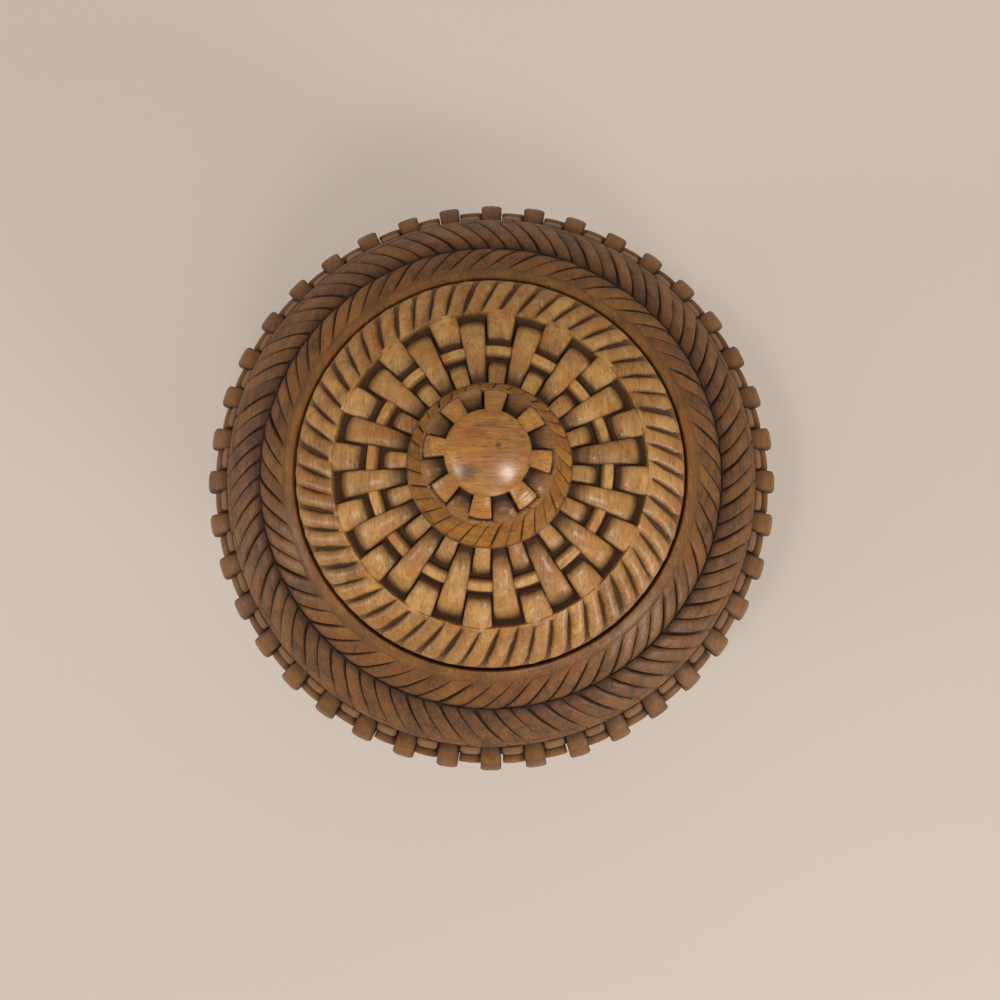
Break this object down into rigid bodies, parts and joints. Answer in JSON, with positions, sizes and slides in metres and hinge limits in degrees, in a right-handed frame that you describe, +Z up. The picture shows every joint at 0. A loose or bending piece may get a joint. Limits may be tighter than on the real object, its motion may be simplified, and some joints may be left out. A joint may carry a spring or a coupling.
{
  "type": "trinket box",
  "caption": "Round wooden trinket box carved as a woven basket, with a domed lift-off lid and a carved knob.",
  "frame": {"origin": "centre of the foot's underside, on the surface that the box stands on", "axes": "+Z up along the box's axis, through the middle of the knob; +Y away from the viewer who looks down on the box with the picture's top edge far away"},
  "size_m": [0.1, 0.1, 0.0822],
  "materials": {
    "basket_wood": "carved honey-brown close-grained wood, dark stain in the hollows, rubbed and waxed to a soft gloss",
    "lid_wood": "carved lighter honey wood with visible grain, dark stain in the hollows, waxed to a soft gloss",
    "knob_wood": "carved light honey wood, smooth disc on top, waxed to a soft gloss"
  },
  "bodies": {
    "basket": {"basket_body": "basket_wood"},
    "lid": {"lid": "lid_wood", "knob": "knob_wood"}
  },
  "joints": [
    {"name": "lid_lift", "type": "slide", "parent": "basket", "child": "lid", "axis": [0, 0, 1], "range_m": [0, 0.08]}
  ]
}
